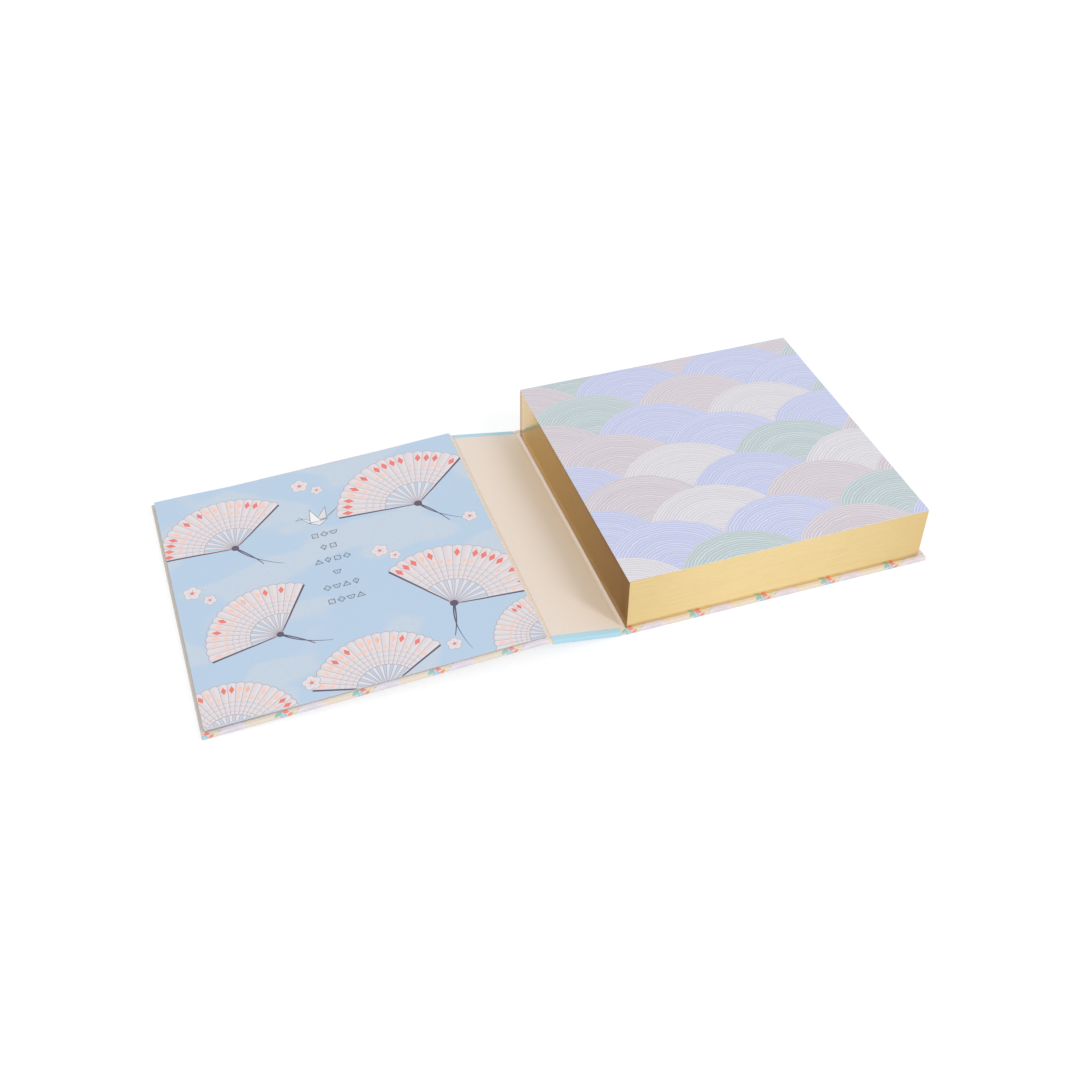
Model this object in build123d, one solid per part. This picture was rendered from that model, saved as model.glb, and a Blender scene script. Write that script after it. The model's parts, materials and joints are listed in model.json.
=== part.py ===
from build123d import *
import math
import os

# A book-like case for square folding paper, lying open on a table. Its back cover carries a pile of
# sheets with gilt edges, its front cover carries a booklet, and joints of paper on both sides of
# the spine let it close like a book.
# +X runs from the front cover to the back cover, +Y from the near edges to the far ones, +Z is up.
# The origin is the centre of the back cover's underside. Millimetres and degrees.

# Pile of sheets
sheet_side = 150.0
pile_height = 28.8

# How far the covers stand out beyond the pile
near_border = 1.9
far_border = 4.3
side_border = 3.7

# Boards and the papers glued to them
board_thickness = 2.0
wrap_thickness = 0.15
liner_thickness = 0.15
turn_in_width = 15.0
liner_edge_inset = 3.2
liner_side_inset = 4.0

# Booklet, and the bare cover left beside it
booklet_width = 151.4
booklet_depth = 152.5
booklet_thickness = 0.8
booklet_hinge_margin = 0.8
booklet_near_margin = 1.9

# Fit of the closed case, and the paper joints on both sides of the spine
closed_clearance = 0.3
spine_foot_gap = 0.5
spine_top_gap = 1.2
joint_tab = 0.8
half_split = 0.25
liner_tab_share = 0.5

# The open pose: how the spine leans, and where the front cover's lower corner lies past its end
spine_tilt = 9.5
open_gap = 1.52
open_rise = 1.14

# Sizes that follow
panel_thickness = wrap_thickness + board_thickness + wrap_thickness + liner_thickness
cover_width = sheet_side + side_border
cover_depth = near_border + sheet_side + far_border
closed_height = 2 * panel_thickness + pile_height + booklet_thickness + closed_clearance
near_edge = -cover_depth / 2
far_edge = cover_depth / 2

# The back hinge's axis lies on the table, so that the closed spine just clears the pile
back_axis_gap = panel_thickness + closed_clearance
back_axis_x = -cover_width / 2 - back_axis_gap
back_tab = back_axis_gap - half_split
spine_end = closed_height - spine_top_gap

# The front cover's lower corner, as (distance from the back axis along the spine, height over it)
closed_corner = Vector(closed_height, back_axis_gap)
open_corner = Vector(spine_end + open_gap, open_rise)

# In the open pose the front cover's far edge rests on the table
lean = math.radians(spine_tilt)
open_corner_height = open_corner.X * math.sin(lean) + open_corner.Y * math.cos(lean)
cover_slope = math.degrees(math.asin(open_corner_height / cover_width))
cover_turn = 90 + spine_tilt + cover_slope


def turning_point(start, end, turn):
    """The point about which a corner turns anticlockwise from start to end."""
    step = end - start
    return (start + end) / 2 + Vector(-step.Y, step.X) / (2 * math.tan(math.radians(turn / 2)))


front_axis = turning_point(open_corner, closed_corner, cover_turn)

# Where the three flat panels stand: each is modelled with its hinge end or ends across X
back_place = Pos(-cover_width / 2, 0, 0)
spine_place = Pos(back_axis_x, 0, 0) * Rot(0, spine_tilt, 0)
front_place = spine_place * Pos(-open_corner.X, 0, open_corner.Y) * Rot(0, -spine_tilt - cover_slope, 0)

# Heights in a panel, from its outer skin
board_base = wrap_thickness
board_top = board_base + board_thickness
turn_in_top = board_top + wrap_thickness


def slab(x_low, x_high, y_low, y_high, z_low, z_high):
    """A box between two opposite corners."""
    centre = Pos((x_low + x_high) / 2, (y_low + y_high) / 2, (z_low + z_high) / 2)
    return centre * Box(x_high - x_low, y_high - y_low, z_high - z_low)


def board(x_low, x_high, low_tab, high_tab):
    """The stiff board: the liner covers its ends at the joints, the wrap its other ends."""
    x_low += liner_thickness if low_tab else wrap_thickness
    x_high -= liner_thickness if high_tab else wrap_thickness
    return slab(x_low, x_high, near_edge + wrap_thickness, far_edge - wrap_thickness, board_base, board_top)


def wrap(x_low, x_high, low_tab, high_tab):
    """The printed paper: outer skin with its share of the joints, edges, and turn-ins on the inside."""
    skin = slab(x_low - low_tab, x_high + high_tab, near_edge, far_edge, 0, wrap_thickness)
    body_low = x_low + (liner_thickness if low_tab else 0)
    body_high = x_high - (liner_thickness if high_tab else 0)
    body = slab(body_low, body_high, near_edge, far_edge, 0, turn_in_top)
    window_low = body_low if low_tab else x_low + turn_in_width
    window_high = body_high if high_tab else x_high - turn_in_width
    window_near = near_edge + turn_in_width
    window_far = far_edge - turn_in_width
    window = slab(window_low, window_high, window_near, window_far, board_top, turn_in_top)
    return skin + (body - board(x_low, x_high, low_tab, high_tab) - window)


def liner(x_low, x_high, low_tab, high_tab):
    """The lining paper: over the turn-ins, down on the board between them, and into the joints."""
    near = near_edge + liner_edge_inset
    far = far_edge - liner_edge_inset
    top_low = x_low if low_tab else x_low + liner_side_inset
    top_high = x_high if high_tab else x_high - liner_side_inset
    bed_near = near_edge + turn_in_width
    bed_far = far_edge - turn_in_width
    bed_low = x_low if low_tab else x_low + turn_in_width
    bed_high = x_high if high_tab else x_high - turn_in_width
    sheet = slab(top_low, top_high, near, far, turn_in_top, panel_thickness)
    sheet += slab(bed_low, bed_high, bed_near, bed_far, board_top, turn_in_top)
    for tab, end, outwards in ((low_tab, x_low, -1), (high_tab, x_high, 1)):
        if tab:
            reach = end + outwards * tab * liner_tab_share
            inner = end - outwards * liner_thickness
            tab_top = wrap_thickness + liner_thickness
            sheet += slab(min(end, inner), max(end, inner), near, far, wrap_thickness, panel_thickness)
            sheet += slab(min(end, reach), max(end, reach), near, far, wrap_thickness, tab_top)
    return sheet


def panel(name, place, x_low, x_high, low_tab, high_tab):
    """One panel's board, wrap and liner, by node name. A side with no tab is a free edge."""
    ends = (x_low, x_high, low_tab, high_tab)
    return {
        name + "_board": place * board(*ends),
        name + "_wrap": place * wrap(*ends),
        name + "_liner": place * liner(*ends),
    }


def booklet():
    """The booklet, in the front cover's place: its leaves are one solid."""
    high = -booklet_hinge_margin
    near = near_edge + booklet_near_margin
    top = panel_thickness + booklet_thickness
    return front_place * slab(high - booklet_width, high, near, near + booklet_depth, panel_thickness, top)


def paper_block():
    """The pile of sheets, flush with the back cover's hinge end."""
    near = near_edge + near_border
    pile = slab(0, sheet_side, near, near + sheet_side, panel_thickness, panel_thickness + pile_height)
    return back_place * pile


nodes = {
    **panel("back", back_place, 0, cover_width, back_tab, 0),
    **panel("spine", spine_place, -spine_end, -spine_foot_gap, joint_tab, spine_foot_gap - half_split),
    **panel("front", front_place, -cover_width, 0, 0, joint_tab),
    "booklet": booklet(),
    "paper_block": paper_block(),
}

os.makedirs("parts", exist_ok=True)
for name, shape in nodes.items():
    shape.label = name
    export_step(shape, f"parts/{name}.step")
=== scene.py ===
import json
import math
import random
from functools import partialmethod, reduce

import bmesh
import bpy
from mathutils import Matrix, Vector


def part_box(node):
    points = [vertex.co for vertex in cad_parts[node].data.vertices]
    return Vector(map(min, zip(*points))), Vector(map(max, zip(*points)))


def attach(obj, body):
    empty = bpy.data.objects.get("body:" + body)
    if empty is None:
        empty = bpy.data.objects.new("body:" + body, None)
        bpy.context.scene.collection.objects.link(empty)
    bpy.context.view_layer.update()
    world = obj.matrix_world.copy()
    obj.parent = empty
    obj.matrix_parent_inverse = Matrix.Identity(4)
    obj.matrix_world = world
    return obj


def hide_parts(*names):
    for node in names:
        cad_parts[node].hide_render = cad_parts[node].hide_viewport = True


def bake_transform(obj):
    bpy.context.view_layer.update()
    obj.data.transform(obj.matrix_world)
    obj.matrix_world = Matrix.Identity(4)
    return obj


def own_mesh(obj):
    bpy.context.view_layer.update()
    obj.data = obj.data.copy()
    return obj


bl_info = {
    "name": "Origami paper case",
    "version": (1, 0, 0),
    "blender": (4, 5, 0),
    "location": "3D View > Sidebar > Paper case",
    "description": "Papers, booklet, gilt pile, light and camera for the packed case of folding paper",
    "category": "Object",
}

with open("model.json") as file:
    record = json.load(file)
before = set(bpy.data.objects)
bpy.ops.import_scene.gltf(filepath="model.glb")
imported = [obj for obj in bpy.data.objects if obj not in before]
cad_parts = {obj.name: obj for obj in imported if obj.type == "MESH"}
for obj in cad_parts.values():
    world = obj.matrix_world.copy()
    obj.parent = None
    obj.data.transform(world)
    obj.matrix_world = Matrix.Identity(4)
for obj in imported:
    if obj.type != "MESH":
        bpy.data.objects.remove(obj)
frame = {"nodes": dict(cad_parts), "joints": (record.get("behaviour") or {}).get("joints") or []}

MM = 0.001

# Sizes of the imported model, in millimetres
TURN_IN_TOP = 2.3
PANEL_TOP = 2.45
TURN_IN = 15.0
LINING_INSET = 3.2
LINING_SIDE_INSET = 4.0
SPINE_FOOT = -0.5
SPINE_HEAD = -33.6
OPEN_CORNER = (-35.12, 1.14)
BOOKLET_X = (-152.2, -0.8)
BOOKLET_Y = (-76.2, 76.3)
BOOKLET_THICKNESS = 0.8

# Where the back joint's paper starts on the printed sheet, and how far the front cover's print is moved
BACK_JOINT_START = -3.24
FRONT_SHIFT = -14.4

# How far the print is spread over the front joint, so that it isn't stretched when the case is closed
FRONT_SPREAD = 2.5

# Where the lining starts and ends its step down from a turn-in, from the turn-in's edge, and its depth
LINING_STEP = (-0.5, 0.7)
LINING_DIP = 0.1

# How far the lining's upper side lies over that of the turn-ins at a joint
LINING_OVER_TURN_IN = 0.17

# Faces of a folded paper that stay below this height are its outer skin
SKIN_HEIGHT = 0.25

# The crease between two turn-ins that meet at a corner
CREASE_HALF_WIDTH = 0.22
CREASE_DEPTH = 0.09

# The top sheet's thickness, and how far below the pile's top the other sheets end
TOP_SHEET_THICKNESS = 0.11
TOP_SHEET_ROOM = 0.16

# Edges that turn by more than this many degrees stay sharp
SHARP_ANGLE = 32

# Steps of the meshes: across a joint, up and along the pile, along the top sheet and over the booklet
JOINT_STEPS = 14
SHEET_ROWS = 96
PILE_STEPS = 16
TOP_SHEET_STEPS = 30
LEAF_STEPS = (24, 16)
BOOKLET_COVER_STEPS = (36, 24)

# Kinds of rays that show a surface to the camera, straight or in metal or glass
SEEN_RAYS = ("Is Camera Ray", "Is Glossy Ray", "Is Transmission Ray")

# The panels' places: each panel's own x runs along it, its own z is the height over its outer skin
hinges = {joint["name"]: joint for joint in frame["joints"]}
SPINE_TILT = -hinges["back_hinge"]["range_deg"][0]
COVER_TURN = hinges["front_hinge"]["range_deg"][1]
BACK_AXIS_X = hinges["back_hinge"]["pos_m"][0] / MM
back_low, back_high = (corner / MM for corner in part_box("back_wrap"))
NEAR, FAR = back_low.y, back_high.y
COVER_WIDTH = 2 * back_high.x
pile_low, pile_high = (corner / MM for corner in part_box("paper_block"))


def turned(degrees):
    return Matrix.Rotation(math.radians(degrees), 4, "Y")


BACK_PLACE = Matrix.Translation((-COVER_WIDTH / 2, 0, 0))
SPINE_PLACE = Matrix.Translation((BACK_AXIS_X, 0, 0)) @ turned(SPINE_TILT)
FRONT_PLACE = SPINE_PLACE @ Matrix.Translation((OPEN_CORNER[0], 0, OPEN_CORNER[1])) @ turned(90 - COVER_TURN)
FLAT = Matrix.Identity(4)


def from_panel(place, x, z):
    """A point of a panel's section, in the frame's millimetres, as (x, z)."""
    spot = place @ Vector((x, 0, z))
    return (spot.x, spot.z)


def joint_curves(start, start_x, end, end_x, skin, lining):
    """Sections of the papers that bridge a joint, from one panel's end to the next one's:
    (underside, upper side of turn-ins, upper side of lining). skin and lining are the points between."""

    def whole(height, points):
        return [from_panel(start, start_x, height), *points, from_panel(end, end_x, height)]

    turn_in = [(x, z - LINING_OVER_TURN_IN) for x, z in lining]
    return whole(0, skin), whole(TURN_IN_TOP, turn_in), whole(PANEL_TOP, lining)


BACK_JOINT = joint_curves(
    BACK_PLACE, 0, SPINE_PLACE, SPINE_FOOT,
    skin=[(-77.8, 0.0), (-78.7, 0.0), (BACK_AXIS_X + 0.1, 0.0)],
    lining=[(-77.3, 2.62), (-77.9, 2.5), (-78.5, 2.28), (-79.2, 2.36)],
)
FRONT_JOINT = joint_curves(
    SPINE_PLACE, SPINE_HEAD, FRONT_PLACE, 0,
    skin=[from_panel(SPINE_PLACE, SPINE_HEAD - out, out) for out in (0.5, 1.0)],
    lining=[from_panel(SPINE_PLACE, SPINE_HEAD - out, z) for out, z in ((0.4, 2.05), (1.1, 2.65))],
)


def linear(red, green, blue):
    """A colour as Blender keeps it, from the usual 0 to 255 values."""
    parts = (value / 255 for value in (red, green, blue))
    return tuple(c / 12.92 if c <= 0.04045 else ((c + 0.055) / 1.055) ** 2.4 for c in parts)


def length(name, description, default, low, high):
    """A length property: millimetres here, metres in Blender."""
    return bpy.props.FloatProperty(name=name, description=description, default=default * MM, min=low * MM,
                                   max=high * MM, unit="LENGTH", precision=5)


def colour(name, description, red, green, blue):
    return bpy.props.FloatVectorProperty(name=name, description=description, default=linear(red, green, blue),
                                         min=0.0, max=1.0, size=3, subtype="COLOR")


class CaseSizes(bpy.types.PropertyGroup):
    """Sizes of the papers that a user would change."""

    fold_radius: length("Fold radius", "Radius of the papers' folds round the boards' edges", 0.4, 0.1, 0.5)
    corner_radius: length("Corner radius", "Radius of the covers' free corners from above", 0.45, 0.1, 2.0)
    paper: length("Paper", "Thickness of the papers glued to the boards", 0.13, 0.05, 0.15)
    leaf_paper: length("Leaf", "Thickness of the booklet's leaves", 0.085, 0.05, 0.09)
    edge_lift: length("Edge lift", "How far the booklet's free edge curls up", 1.35, 0.0, 3.0)
    curl_width: length("Curl width", "Width of the booklet's curled strip", 62.0, 10.0, 120.0)
    sheet_lift: length("Sheet lift", "How far the top sheet's far corner curls up", 0.22, 0.0, 1.0)
    wave_radius: length("Wave radius", "Radius of the wave scales on the top sheet", 34.0, 8.0, 60.0)
    wave_pitch: length("Wave lines", "Pitch of the lines in the wave scales", 1.42, 0.8, 6.0)
    print_period: length("Print period", "Repeat of the print on the covers", 33.5, 15.0, 80.0)


class CaseColours(bpy.types.PropertyGroup):
    """Colours of the papers, prints and gilding."""

    cream: colour("Cream", "Ground of the covers' print", 227, 215, 199)
    # A paler, cooler colour for the lining's strip along the pile.
    joint: colour("Joint", "Paler strip of the lining along the pile", 240, 230, 232)
    # Painted shade: the turn-in strip along the front cover's free edge is darker than the cream, standing in
    # for the booklet's shade on it.
    turn_in: colour("Turn-in", "Shaded strip along the front cover's free edge, inside", 217, 208, 197)
    lining: colour("Lining", "Lining paper", 231, 218, 207)
    spine: colour("Spine", "Paper on the spine", 172, 214, 232)
    sky: colour("Sky", "Ground of the booklet's print", 184, 206, 229)
    cloud: colour("Cloud", "Clouds on the booklet", 197, 209, 223)
    white: colour("White", "Paler paper", 242, 241, 244)
    leaf: colour("Leaf", "The booklet's leaves", 218, 221, 233)
    # Painted shade: the lowest leaf is greyer than the others to stand in for the shadow in the gap under the
    # lifted leaves.
    last_leaf_painted_shade: colour("Last leaf", "The booklet's last leaf", 197, 195, 190)
    lilac_white: colour("Lilac white", "Fans on the booklet", 228, 221, 225)
    rib: colour("Rib", "Fine lines in the fans", 170, 160, 168)
    coral: colour("Coral", "Strong accent", 238, 122, 112)
    peach: colour("Peach", "Soft accent", 247, 201, 184)
    ink: colour("Ink", "Dark strokes", 84, 76, 102)
    glyph: colour("Glyph", "Fold diagrams", 92, 106, 116)
    teal: colour("Teal", "Leaves on the covers", 132, 190, 190)
    flower: colour("Flower", "Blossoms on the covers", 158, 205, 222)
    lavender: colour("Lavender", "First colour of the wave scales", 193, 199, 231)
    mauve: colour("Mauve", "Second colour of the wave scales", 207, 199, 207)
    sage: colour("Sage", "Third colour of the wave scales", 184, 201, 204)
    pearl: colour("Pearl", "Fourth colour of the wave scales", 217, 215, 221)
    gold: colour("Gold", "Gilt edges of the pile", 245, 222, 167)
    board: colour("Board", "Grey board inside the covers", 150, 142, 130)
    floor: colour("Floor", "Floor", 254, 254, 254)


def shades():
    return bpy.context.scene.paper_case_colours


def mm(name):
    """A size property in millimetres."""
    return getattr(bpy.context.scene.paper_case_sizes, name) / MM


# Shader building


def feed(socket, value):
    """Sets a socket, or links it if the value is a signal."""
    if isinstance(value, Signal):
        value.tree.links.new(value.socket, socket)
    elif hasattr(value, "__len__") and len(value) == 3 and len(socket.default_value) == 4:
        socket.default_value = (*value, 1.0)
    else:
        socket.default_value = value


def added(tree, kind, inputs, output=0, **settings):
    """Adds a shader node and returns one of its outputs. inputs go by name or by number."""
    node = tree.nodes.new(kind)
    for key, value in settings.items():
        setattr(node, key, value)
    for key, value in inputs.items():
        feed(node.inputs[key], value)
    return Signal(tree, node.outputs[output])


class Signal:
    """A value that varies over a surface. Arithmetic on it adds Math nodes to its tree."""

    def __init__(self, tree, socket):
        self.tree = tree
        self.socket = socket

    def math(self, operation, *others, first=None, clamp=False):
        values = (self, *others) if first is None else (first, self)
        inputs = dict(enumerate(values))
        return added(self.tree, "ShaderNodeMath", inputs, operation=operation, use_clamp=clamp)

    __add__ = __radd__ = partialmethod(math, "ADD")
    __sub__ = partialmethod(math, "SUBTRACT")
    __mul__ = __rmul__ = partialmethod(math, "MULTIPLY")
    __truediv__ = partialmethod(math, "DIVIDE")
    __abs__ = partialmethod(math, "ABSOLUTE")
    high = partialmethod(math, "MAXIMUM")
    above = partialmethod(math, "GREATER_THAN")
    below = partialmethod(math, "LESS_THAN")
    fraction = partialmethod(math, "FRACT")
    floor = partialmethod(math, "FLOOR")

    def __rsub__(self, other):
        return self.math("SUBTRACT", first=other)

    def __neg__(self):
        return 0.0 - self

    def wrapped(self, low, high):
        return self.math("WRAP", high, low)

    def clamped(self):
        """The value kept between 0 and 1."""
        return self.math("ADD", 0.0, clamp=True)

    def inside(self, softness=0.12):
        """1 where a distance is below 0, with a soft edge."""
        return (0.5 - self * (1 / softness)).clamped()

    def line(self, width, softness=0.12):
        """1 where a distance is near 0, as a line of that width."""
        return (abs(self) - width / 2).inside(softness)

    def ramp(self, start, end):
        """0 before start, 1 past end, and a straight line between them."""
        return ((self - start) * (1 / (end - start))).clamped()

    def parts(self, count=2):
        """A position's x and y, or its x, y and z."""
        node = self.tree.nodes.new("ShaderNodeSeparateXYZ")
        feed(node.inputs[0], self)
        return tuple(Signal(self.tree, output) for output in node.outputs[:count])


def highest(signals):
    return reduce(Signal.high, signals)


def hypot(x, y):
    return (x * x + y * y).math("SQRT")


def point(x, y, z=0.0):
    return added(x.tree, "ShaderNodeCombineXYZ", {"X": x, "Y": y, "Z": z})


def mixed(mask, under, over):
    """One colour laid over another where the mask is 1."""
    return added(mask.tree, "ShaderNodeMix", {0: mask, 6: under, 7: over}, 2, data_type="RGBA")


def layered(under, *layers):
    """Colours laid over another one after the other. Each layer is (mask, colour)."""
    for mask, over in layers:
        under = mixed(mask, under, over)
    return under


def tinted(base, *shares):
    """A colour with each of its parts scaled."""
    return tuple(part * share for part, share in zip(base, shares))


def noise(at, scale, detail=3.0, roughness=0.5, stretch=None):
    """Noise from 0 to 1 at a position."""
    if stretch:
        at = added(at.tree, "ShaderNodeMapping", {"Vector": at, "Scale": stretch})
    inputs = {"Vector": at, "Scale": scale, "Detail": detail, "Roughness": roughness}
    return added(at.tree, "ShaderNodeTexNoise", inputs)


def chance(at):
    """A random value from 0 to 1, the same at equal positions."""
    return added(at.tree, "ShaderNodeTexWhiteNoise", {"Vector": at}, noise_dimensions="3D")


def placed(at, x, y, degrees=0.0):
    """Positions seen from a point turned by an angle."""
    inputs = {"Vector": at, "Location": (x, y, 0), "Rotation": (0, 0, math.radians(degrees))}
    return added(at.tree, "ShaderNodeMapping", inputs, vector_type="TEXTURE")


def polygon(x, y, *corners):
    """Distance to a convex polygon, from its corners in anticlockwise order: below 0 inside."""
    sides = []
    for (x0, y0), (x1, y1) in zip(corners, corners[1:] + corners[:1]):
        side = math.hypot(x1 - x0, y1 - y0)
        nx, ny = (y1 - y0) / side, (x0 - x1) / side
        sides.append(x * nx + y * ny - (x0 * nx + y0 * ny))
    return highest(sides)


def rays(tree, kinds):
    """1 for rays of any of these kinds."""
    return highest(added(tree, "ShaderNodeLightPath", {}, kind) for kind in kinds)


KINDS = {"colour": "NodeSocketColor", "vector": "NodeSocketVector", "value": "NodeSocketFloat"}


def group(name, inputs, outputs, draw):
    """A shader node group, made once. inputs and outputs give the kind of each socket by its name."""
    tree = bpy.data.node_groups.get(name)
    if tree is None:
        tree = bpy.data.node_groups.new(name, "ShaderNodeTree")
        for in_out, sockets in (("INPUT", inputs), ("OUTPUT", outputs)):
            for label, kind in sockets.items():
                tree.interface.new_socket(label, in_out=in_out, socket_type=KINDS[kind])
        entry = tree.nodes.new("NodeGroupInput")
        leave = tree.nodes.new("NodeGroupOutput")
        made = draw(*(Signal(tree, entry.outputs[label]) for label in inputs))
        for label, signal in zip(outputs, made):
            feed(leave.inputs[label], signal)
    return tree


def use(tree, made_group, **values):
    """Places a node group and returns its outputs by name."""
    node = tree.nodes.new("ShaderNodeGroup")
    node.node_tree = made_group
    for label, value in values.items():
        feed(node.inputs[label], value)
    return {output.name: Signal(tree, output) for output in node.outputs}


def motif(name, measures, colours, draw):
    """The node group of a motif that is laid over a colour."""
    inputs = {"Under": "colour", "Position": "vector"}
    inputs.update(dict.fromkeys(measures, "value"))
    inputs.update(dict.fromkeys(colours, "colour"))
    return group(name, inputs, {"Colour": "colour"}, lambda *signals: (draw(*signals),))


def scattered(under, at, made_motif, names, spots, **look):
    """A motif laid over a colour at each spot: (x, y, turn in degrees, then the values that names lists)."""
    for x, y, turn, *values in spots:
        own = dict(zip(names, values))
        made = use(at.tree, made_motif, Under=under, Position=placed(at, x, y, turn), **own, **look)
        under = made["Colour"]
    return under


def paper_grain():
    """Paper's fine surface: height of its fibres, and a slow mottle."""

    def draw(at, fibre):
        fine = noise(at, 5.0, 4.0, 0.6)
        long_fibre = noise(at, 1.1, 3.0, 0.55, (1.0, 2.6, 1.0))
        mottle = noise(at, 0.07, 3.0, 0.6)
        return fine * (1.0 - fibre) + long_fibre * fibre, mottle

    inputs = {"Position": "vector", "Fibre": "value"}
    return group("Paper grain", inputs, {"Height": "value", "Mottle": "value"}, draw)


def fan():
    """A folding fan, its pivot at the origin and opening towards +Y, laid over a colour."""
    half_spread = 1.16
    pleats = 18
    blades = 9

    def draw(under, at, radius, cord, leaf, rib, rim, soft, stick):
        x, y = at.parts()
        reach = hypot(x, y)
        angle = x.math("ARCTAN2", y)
        beside = (abs(angle) - half_spread) * reach
        turn = (angle + half_spread) * (pleats / (2 * half_spread))
        pleat = turn.fraction()
        from_middle = abs(pleat - 0.5)
        pleat_width = reach * (2 * half_spread / pleats)
        rim_edge = reach - radius * (1.0 - 0.05 * from_middle)
        area = rim_edge.high(radius * 0.4 - reach).high(beside)
        shade = (pleat - 0.5).inside(0.3) * area.inside(0.2) * 0.13
        here = beside.inside() * area.inside()
        pick = chance(point(turn.floor(), radius, 2.0))
        picked = (pick - 0.72).inside(0.01) * here
        tint = mixed((pick - 0.5).inside(0.01), soft, rim)
        across = from_middle * pleat_width
        big = across * 1.5 + abs(reach - radius * 0.86) * 0.8 - radius * 0.058
        small = across * 1.3 + abs(reach - radius * 0.72) * 0.9 - radius * 0.036
        rings = []
        for share, dip in ((0.62, 0.05), (0.54, 0.05), (0.47, -0.04)):
            ring = reach - radius * (share + dip * from_middle)
            rings.append((ring.line(0.24, 0.2) * here * 0.7, rib))
        between_pleats = (0.5 - from_middle) * pleat_width - 0.14
        blade = ((angle + half_spread) * (blades / (2 * half_spread)) + 0.5).fraction() - 0.5
        blade_edge = (abs(blade) - 0.27) * reach * (2 * half_spread / blades)
        blade_edge = blade_edge.high(reach - radius * 0.4).high(beside - 0.8)
        guard = abs(beside - 0.35) - 0.3 - reach * 0.006
        guard = guard.high((reach - radius * 0.97) * 2.0).high(abs(angle) - 1.9)
        down = (-y).high(0.0)
        strands = []
        for bend, drift, end in ((0.018, 0.1, 0.66), (-0.008, 0.42, 0.5)):
            strand = abs(x - down * down * bend - down * drift) - (0.42 - down * 0.012)
            strand = strand.high(y).high(-y - radius * end)
            strands.append((strand.inside(0.18) * cord, stick))
        return layered(
            under,
            (area.inside(0.2), leaf),
            (shade, rib),
            ((big - 0.45).inside(0.25) * picked, leaf),
            (big.inside(0.25) * picked, tint),
            (small.inside(0.25) * (0.3 - pick).inside(0.01) * here, soft),
            *rings,
            (between_pleats.inside(0.16) * area.inside() * 0.75, rib),
            (area.line(0.34, 0.16) * 0.9, rib),
            (blade_edge.inside(0.16), leaf),
            (blade_edge.line(0.26, 0.14) * 0.9, rib),
            (guard.inside(0.16) * (abs(angle) - 1.3).inside(0.02), stick),
            ((reach - radius * 0.05).inside(0.2), stick),
            *strands,
        )

    return motif("Folding fan", ("Radius", "Cord"), ("Leaf", "Rib", "Rim", "Soft", "Stick"), draw)


def blossom():
    """A five-petalled blossom laid over a colour."""

    def draw(under, at, radius, petal, outline, heart):
        x, y = at.parts()
        reach = hypot(x, y)
        fifth = 2 * math.pi / 5
        angle = y.math("ARCTAN2", x).wrapped(-fifth / 2, fifth / 2)
        across = angle.math("SINE") * reach
        out = angle.math("COSINE") * reach - radius * 0.56
        rim = hypot(out, across) - radius * 0.43
        threads = (abs(across) - 0.1).high(reach - radius * 0.5).inside(0.14)
        return layered(
            under,
            (rim.inside(0.15), petal),
            (rim.line(0.22, 0.14) * 0.9, outline),
            (threads, outline),
            ((reach - radius * 0.2).inside(0.15), heart),
        )

    return motif("Blossom", ("Radius",), ("Petal", "Outline", "Heart"), draw)


def leaf():
    """A pointed leaf along +X with its middle at the origin, laid over a colour."""

    def draw(under, at, reach, width, fill, outline):
        x, y = at.parts()
        edge = abs(y) - width * (1.0 - x * x / (reach * reach))
        vein = (abs(y) - 0.07).high(abs(x) - reach * 0.8).inside(0.1)
        return layered(under, (edge.inside(0.14), fill), (vein, outline))

    return motif("Leaf", ("Reach", "Width"), ("Fill", "Outline"), draw)


def wave_scales():
    """Rows of overlapping wave scales with combed lines: each scale's number, its lines and its border."""

    def draw(at, radius, pitch):
        x, y = at.parts()
        x = x + (noise(at, 0.06, 2.0) - 0.5) * 3.2
        y = y + (noise(at, 0.17, 2.0) - 0.5) * 2.4
        width = radius * 1.72
        rise = radius * 0.5

        def nearest_scale(row):
            """The distance from the middle of the row's nearest scale, and that scale's number."""
            shift = (row * 0.5).fraction() * width
            column = ((x - shift) / width + 0.5).floor()
            reach = hypot(x - shift - column * width, y - row * rise)
            return reach, (column * 0.7549 + row * 0.5698 + 7.31).fraction()

        base = (y / rise).floor()
        behind, front = nearest_scale(base), nearest_scale(base - 1.0)
        within = (front[0] - radius).inside(0.05)
        reach, number = (old + (new - old) * within for old, new in zip(behind, front))
        lines = (reach + (noise(at, 0.4, 2.0) - 0.5) * 0.7) / pitch
        press = chance(point(lines.floor(), number * 40.0, 1.0))
        border = (abs(radius - reach) - 0.16).inside(0.2)
        return number, lines.fraction(), press, border

    inputs = {"Position": "vector", "Radius": "value", "Pitch": "value"}
    outputs = dict.fromkeys(("Number", "Comb", "Press", "Border"), "value")
    return group("Wave scales", inputs, outputs, draw)


def object_mm(tree):
    """Object coordinates in millimetres."""
    metres = added(tree, "ShaderNodeTexCoord", {}, "Object")
    return added(tree, "ShaderNodeVectorMath", {0: metres, "Scale": 1 / MM}, operation="SCALE")


def sheet_mm(tree):
    """Place on the flat sheet in millimetres, from the piece's own UV map."""
    return added(tree, "ShaderNodeUVMap", {}, uv_map="Sheet")


def start_material(name, coordinates=object_mm):
    """A material with a plain Principled shader: (material, its shader, positions on it)."""
    material = bpy.data.materials.new(name)
    material.use_nodes = True
    tree = material.node_tree
    return material, tree.nodes["Principled BSDF"], coordinates(tree)


def bump(shader, height, depth):
    """Relief of that depth in millimetres."""
    inputs = {"Height": height, "Distance": depth * MM, "Strength": 1.0}
    feed(shader.inputs["Normal"], added(height.tree, "ShaderNodeBump", inputs))


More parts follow.
